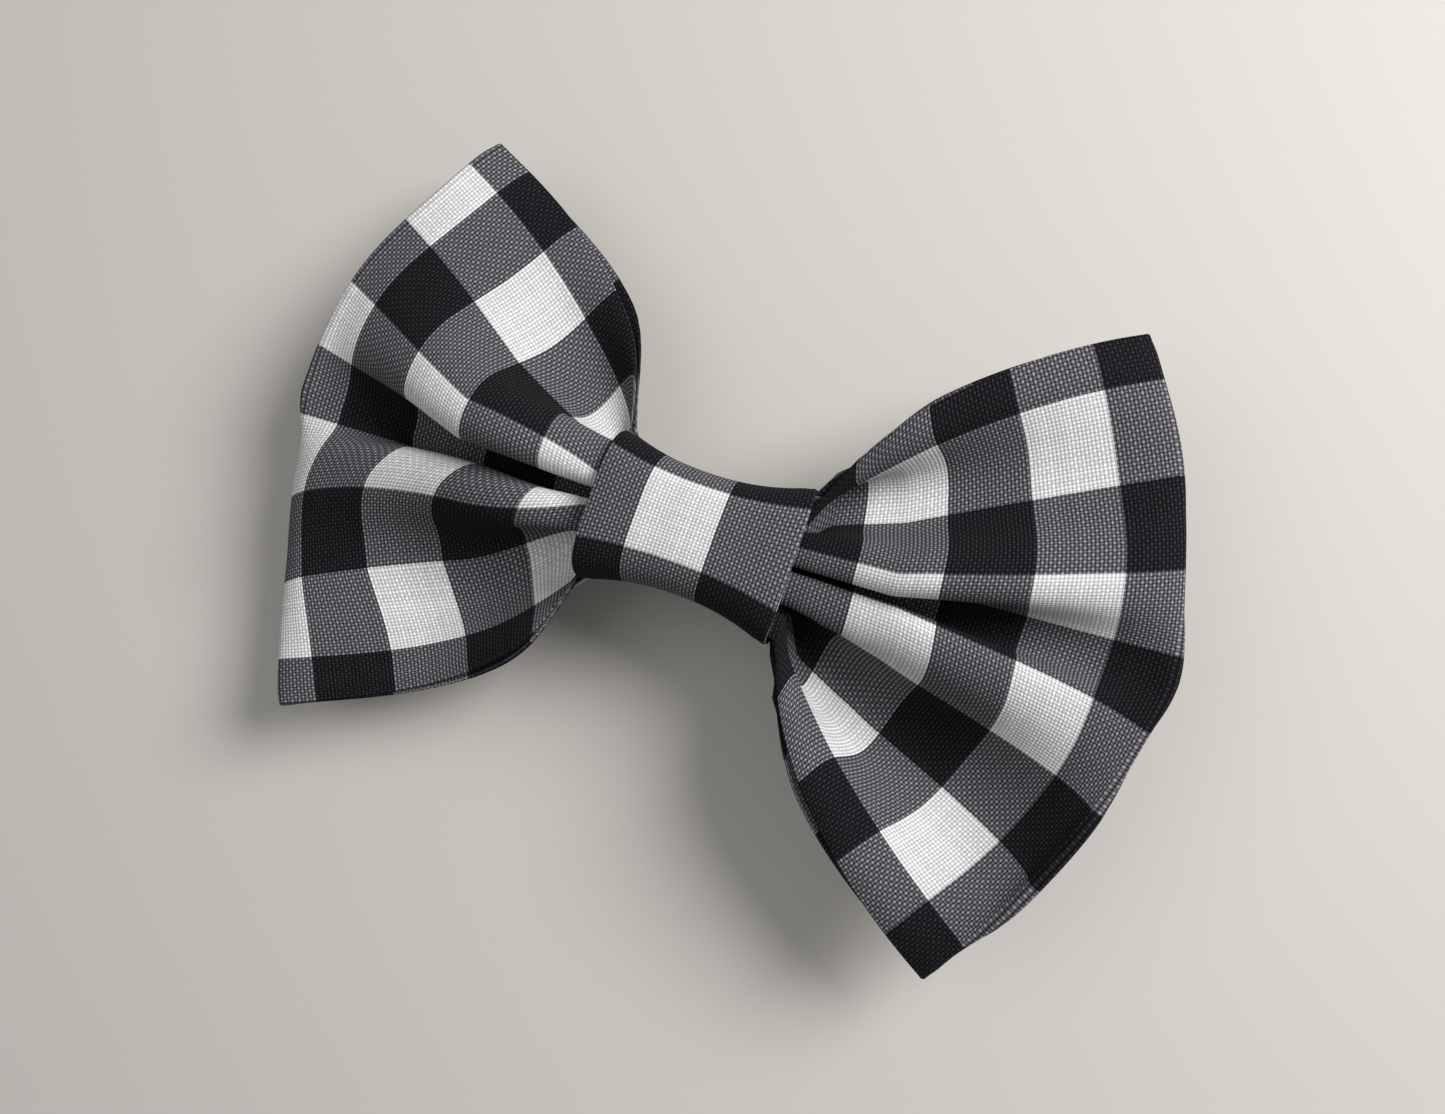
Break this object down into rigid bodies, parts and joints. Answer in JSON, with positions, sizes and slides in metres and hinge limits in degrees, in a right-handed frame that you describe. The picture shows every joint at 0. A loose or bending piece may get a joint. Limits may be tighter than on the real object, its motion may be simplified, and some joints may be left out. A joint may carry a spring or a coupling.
{
  "type": "hair bow",
  "caption": "Two-wing bow of checked cotton pinched by a centre band, on a sprung flat clip that grips hair.",
  "frame": {"origin": "on the surface that the closed clip lies on, under the middle of the bow", "axes": "+X along the bow towards the clip's thumb tab, +Y up the bow's height, +Z out of the bow's face"},
  "size_m": [0.1064, 0.0734, 0.0209],
  "materials": {
    "gingham": "plain-woven cotton checks, black, grey and off-white",
    "gingham_band": "plain-woven cotton checks, black, grey and off-white",
    "interfacing": "non-woven, matt",
    "thread": "twisted polyester",
    "glue": "cloudy hot-melt",
    "ribbon": "ribbed grosgrain",
    "grip": "soft matt",
    "clip_metal": "nickel-plated, satin",
    "pin_metal": "nickel-plated",
    "spring_wire": "drawn spring wire"
  },
  "bodies": {
    "bow": {"bow_loop": "gingham", "interfacing": "interfacing", "gather_thread": "thread", "center_band": "gingham_band", "band_stitches": "thread", "glue_pad": "glue", "ribbon_lining": "ribbon", "grip_pad": "grip", "clip_plate": "clip_metal", "hinge_pin": "pin_metal", "torsion_spring": "spring_wire"},
    "lever": {"clip_lever": "clip_metal"}
  },
  "joints": [
    {"name": "clip_open", "type": "hinge", "parent": "bow", "child": "lever", "pos_m": [0.007, 0, 0.004], "axis": [0, -1, 0], "range_deg": [0, 22], "stiffness_Nm_per_rad": 0.08, "springref_deg": -28.65, "deforming": ["torsion_spring"]}
  ]
}
